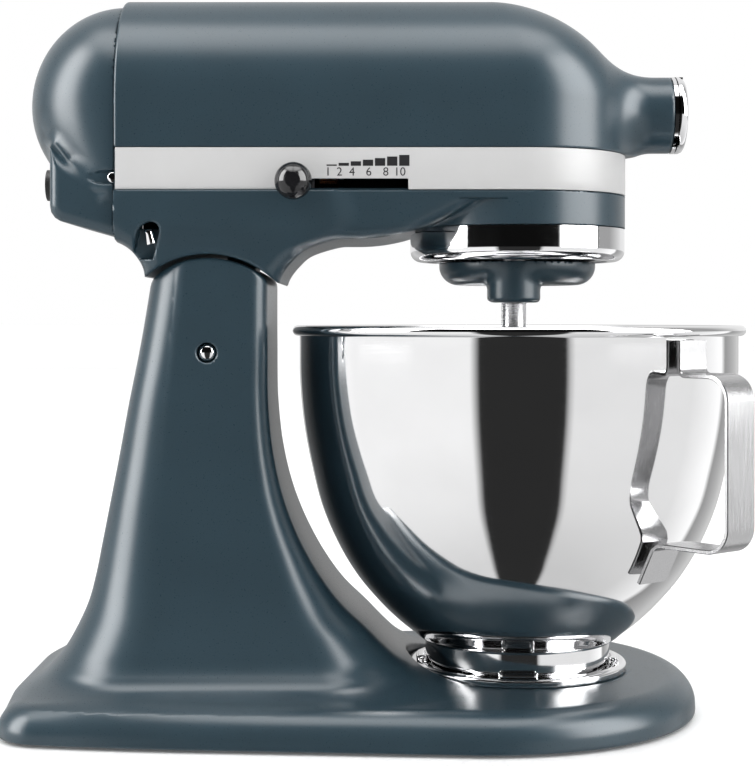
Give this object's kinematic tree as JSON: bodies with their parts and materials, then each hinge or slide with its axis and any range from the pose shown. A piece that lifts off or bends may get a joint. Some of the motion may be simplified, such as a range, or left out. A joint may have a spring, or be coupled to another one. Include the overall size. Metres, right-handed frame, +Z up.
{
  "type": "stand mixer",
  "caption": "Tilt-head stand mixer with a planetary beater drive, a sliding speed lever, a front accessory hub and a twist-lock steel bowl with a strap handle.",
  "frame": {"origin": "centre of the footprint, on the counter that the rubber feet stand on", "axes": "+Z up; +X to the front, from the column towards the bowl; +Y to the head-lock side, away from the speed lever"},
  "size_m": [0.3574, 0.225, 0.3522],
  "materials": {
    "paint": "satin slate blue powder coat over cast metal",
    "band": "fine satin",
    "chrome": "polished",
    "bowl_steel": "mirror-polished stainless steel",
    "handle_steel": "bead-blasted satin stainless steel",
    "steel": "machined",
    "dark_steel": "dull",
    "cast": "as cast",
    "laminations": "stacked laminations",
    "copper": "enamelled copper",
    "brass": "bare",
    "black_gloss": "gloss",
    "black_matte": "matte",
    "ink": "printed",
    "rubber": "matte",
    "nylon": "natural",
    "board": "coated board",
    "carbon": "pressed carbon"
  },
  "bodies": {
    "stand": {"base_column": "paint", "base_feet": "rubber", "bowl_clamp_plate": "chrome", "clamp_plate_screws": "steel", "hinge_pin": "chrome", "hinge_set_screw": "dark_steel", "height_screw": "steel"},
    "head": {"upper_housing": "paint", "rear_cover": "paint", "rear_cover_screw": "steel", "gearcase_lower": "paint", "trim_band": "band", "band_screws": "steel", "speed_scale": "ink", "drip_ring": "chrome", "ring_gear": "dark_steel", "shaft_bush": "brass", "hub_trim_ring": "chrome", "hub_hinge_pin": "steel", "armature_bearings": "steel", "bearing_brackets": "cast", "field_core": "laminations", "field_coils": "copper", "brush_holders": "brass", "brushes": "carbon", "brush_caps": "black_matte", "speed_board": "board", "wheel_bracket": "cast", "cord_gland": "black_matte", "hub_bushing": "brass"},
    "armature": {"armature_shaft": "steel", "armature_core": "laminations", "commutator": "copper", "cooling_fan": "nylon", "motor_worm": "steel"},
    "worm_wheel_shaft": {"worm_wheel": "nylon", "wheel_pinion": "steel", "wheel_shaft": "steel"},
    "planetary": {"planetary_hub": "paint", "centre_shaft": "steel", "centre_gear": "steel", "centre_bevel_gear": "steel", "planetary_roll_pin": "dark_steel"},
    "beater_spindle": {"beater_shaft": "steel", "planet_pinion": "steel", "beater_pin": "dark_steel"},
    "hub_drive": {"hub_bevel_gear": "steel", "hub_drive_shaft": "steel"},
    "speed_control": {"speed_lever": "dark_steel", "speed_ball": "black_gloss"},
    "head_lock": {"lock_lever": "steel", "lock_ball": "black_gloss"},
    "hub_knob": {"attachment_knob": "black_gloss"},
    "hub_flap": {"hub_cover": "chrome"},
    "bowl": {"bowl_shell": "bowl_steel", "bowl_foot": "bowl_steel", "bowl_handle": "handle_steel"}
  },
  "joints": [
    {"name": "head_tilt", "type": "hinge", "parent": "stand", "child": "head", "pos_m": [-0.08475, 0, 0.177], "axis": [0, -1, 0], "range_deg": [0, 45]},
    {"name": "planetary_turn", "type": "hinge", "parent": "head", "child": "planetary", "pos_m": [0.06625, 0, 0.215], "axis": [0, 0, 1], "continuous": true},
    {"name": "beater_spin", "type": "hinge", "parent": "planetary", "child": "beater_spindle", "pos_m": [0.06251, -0.02661, 0.215], "axis": [0, 0, 1], "continuous": true},
    {"name": "worm_wheel_turn", "type": "hinge", "parent": "head", "child": "worm_wheel_shaft", "pos_m": [0.02642, 0.024, 0.25], "axis": [0, 0, 1], "continuous": true},
    {"name": "armature_spin", "type": "hinge", "parent": "head", "child": "armature", "pos_m": [-0.03375, 0, 0.297], "axis": [1, 0, 0], "continuous": true},
    {"name": "hub_drive_turn", "type": "hinge", "parent": "head", "child": "hub_drive", "pos_m": [0.09625, 0, 0.295], "axis": [1, 0, 0], "continuous": true},
    {"name": "speed_slide", "type": "slide", "parent": "head", "child": "speed_control", "axis": [1, 0, 0], "range_m": [0, 0.05]},
    {"name": "lock_turn", "type": "hinge", "parent": "head", "child": "head_lock", "pos_m": [-0.07375, 0.05, 0.242], "axis": [0, 1, 0], "range_deg": [-60, 0]},
    {"name": "hub_knob_turn", "type": "hinge", "parent": "head", "child": "hub_knob", "pos_m": [0.13275, 0.025, 0.295], "axis": [0, 1, 0], "continuous": true},
    {"name": "hub_flap_swing", "type": "hinge", "parent": "head", "child": "hub_flap", "pos_m": [0.14665, 0, 0.3112], "axis": [0, -1, 0], "range_deg": [0, 100]},
    {"name": "bowl_twist", "type": "hinge", "parent": "stand", "child": "bowl", "pos_m": [0.06625, 0, 0.03], "axis": [0, 0, 1], "range_deg": [0, 26]}
  ],
  "couplings": [
    {"joint": "beater_spin", "follows": "planetary_turn", "ratio": -3.5294},
    {"joint": "worm_wheel_turn", "follows": "planetary_turn", "ratio": -3.4286},
    {"joint": "armature_spin", "follows": "planetary_turn", "ratio": -96},
    {"joint": "hub_drive_turn", "follows": "planetary_turn", "ratio": 1}
  ]
}
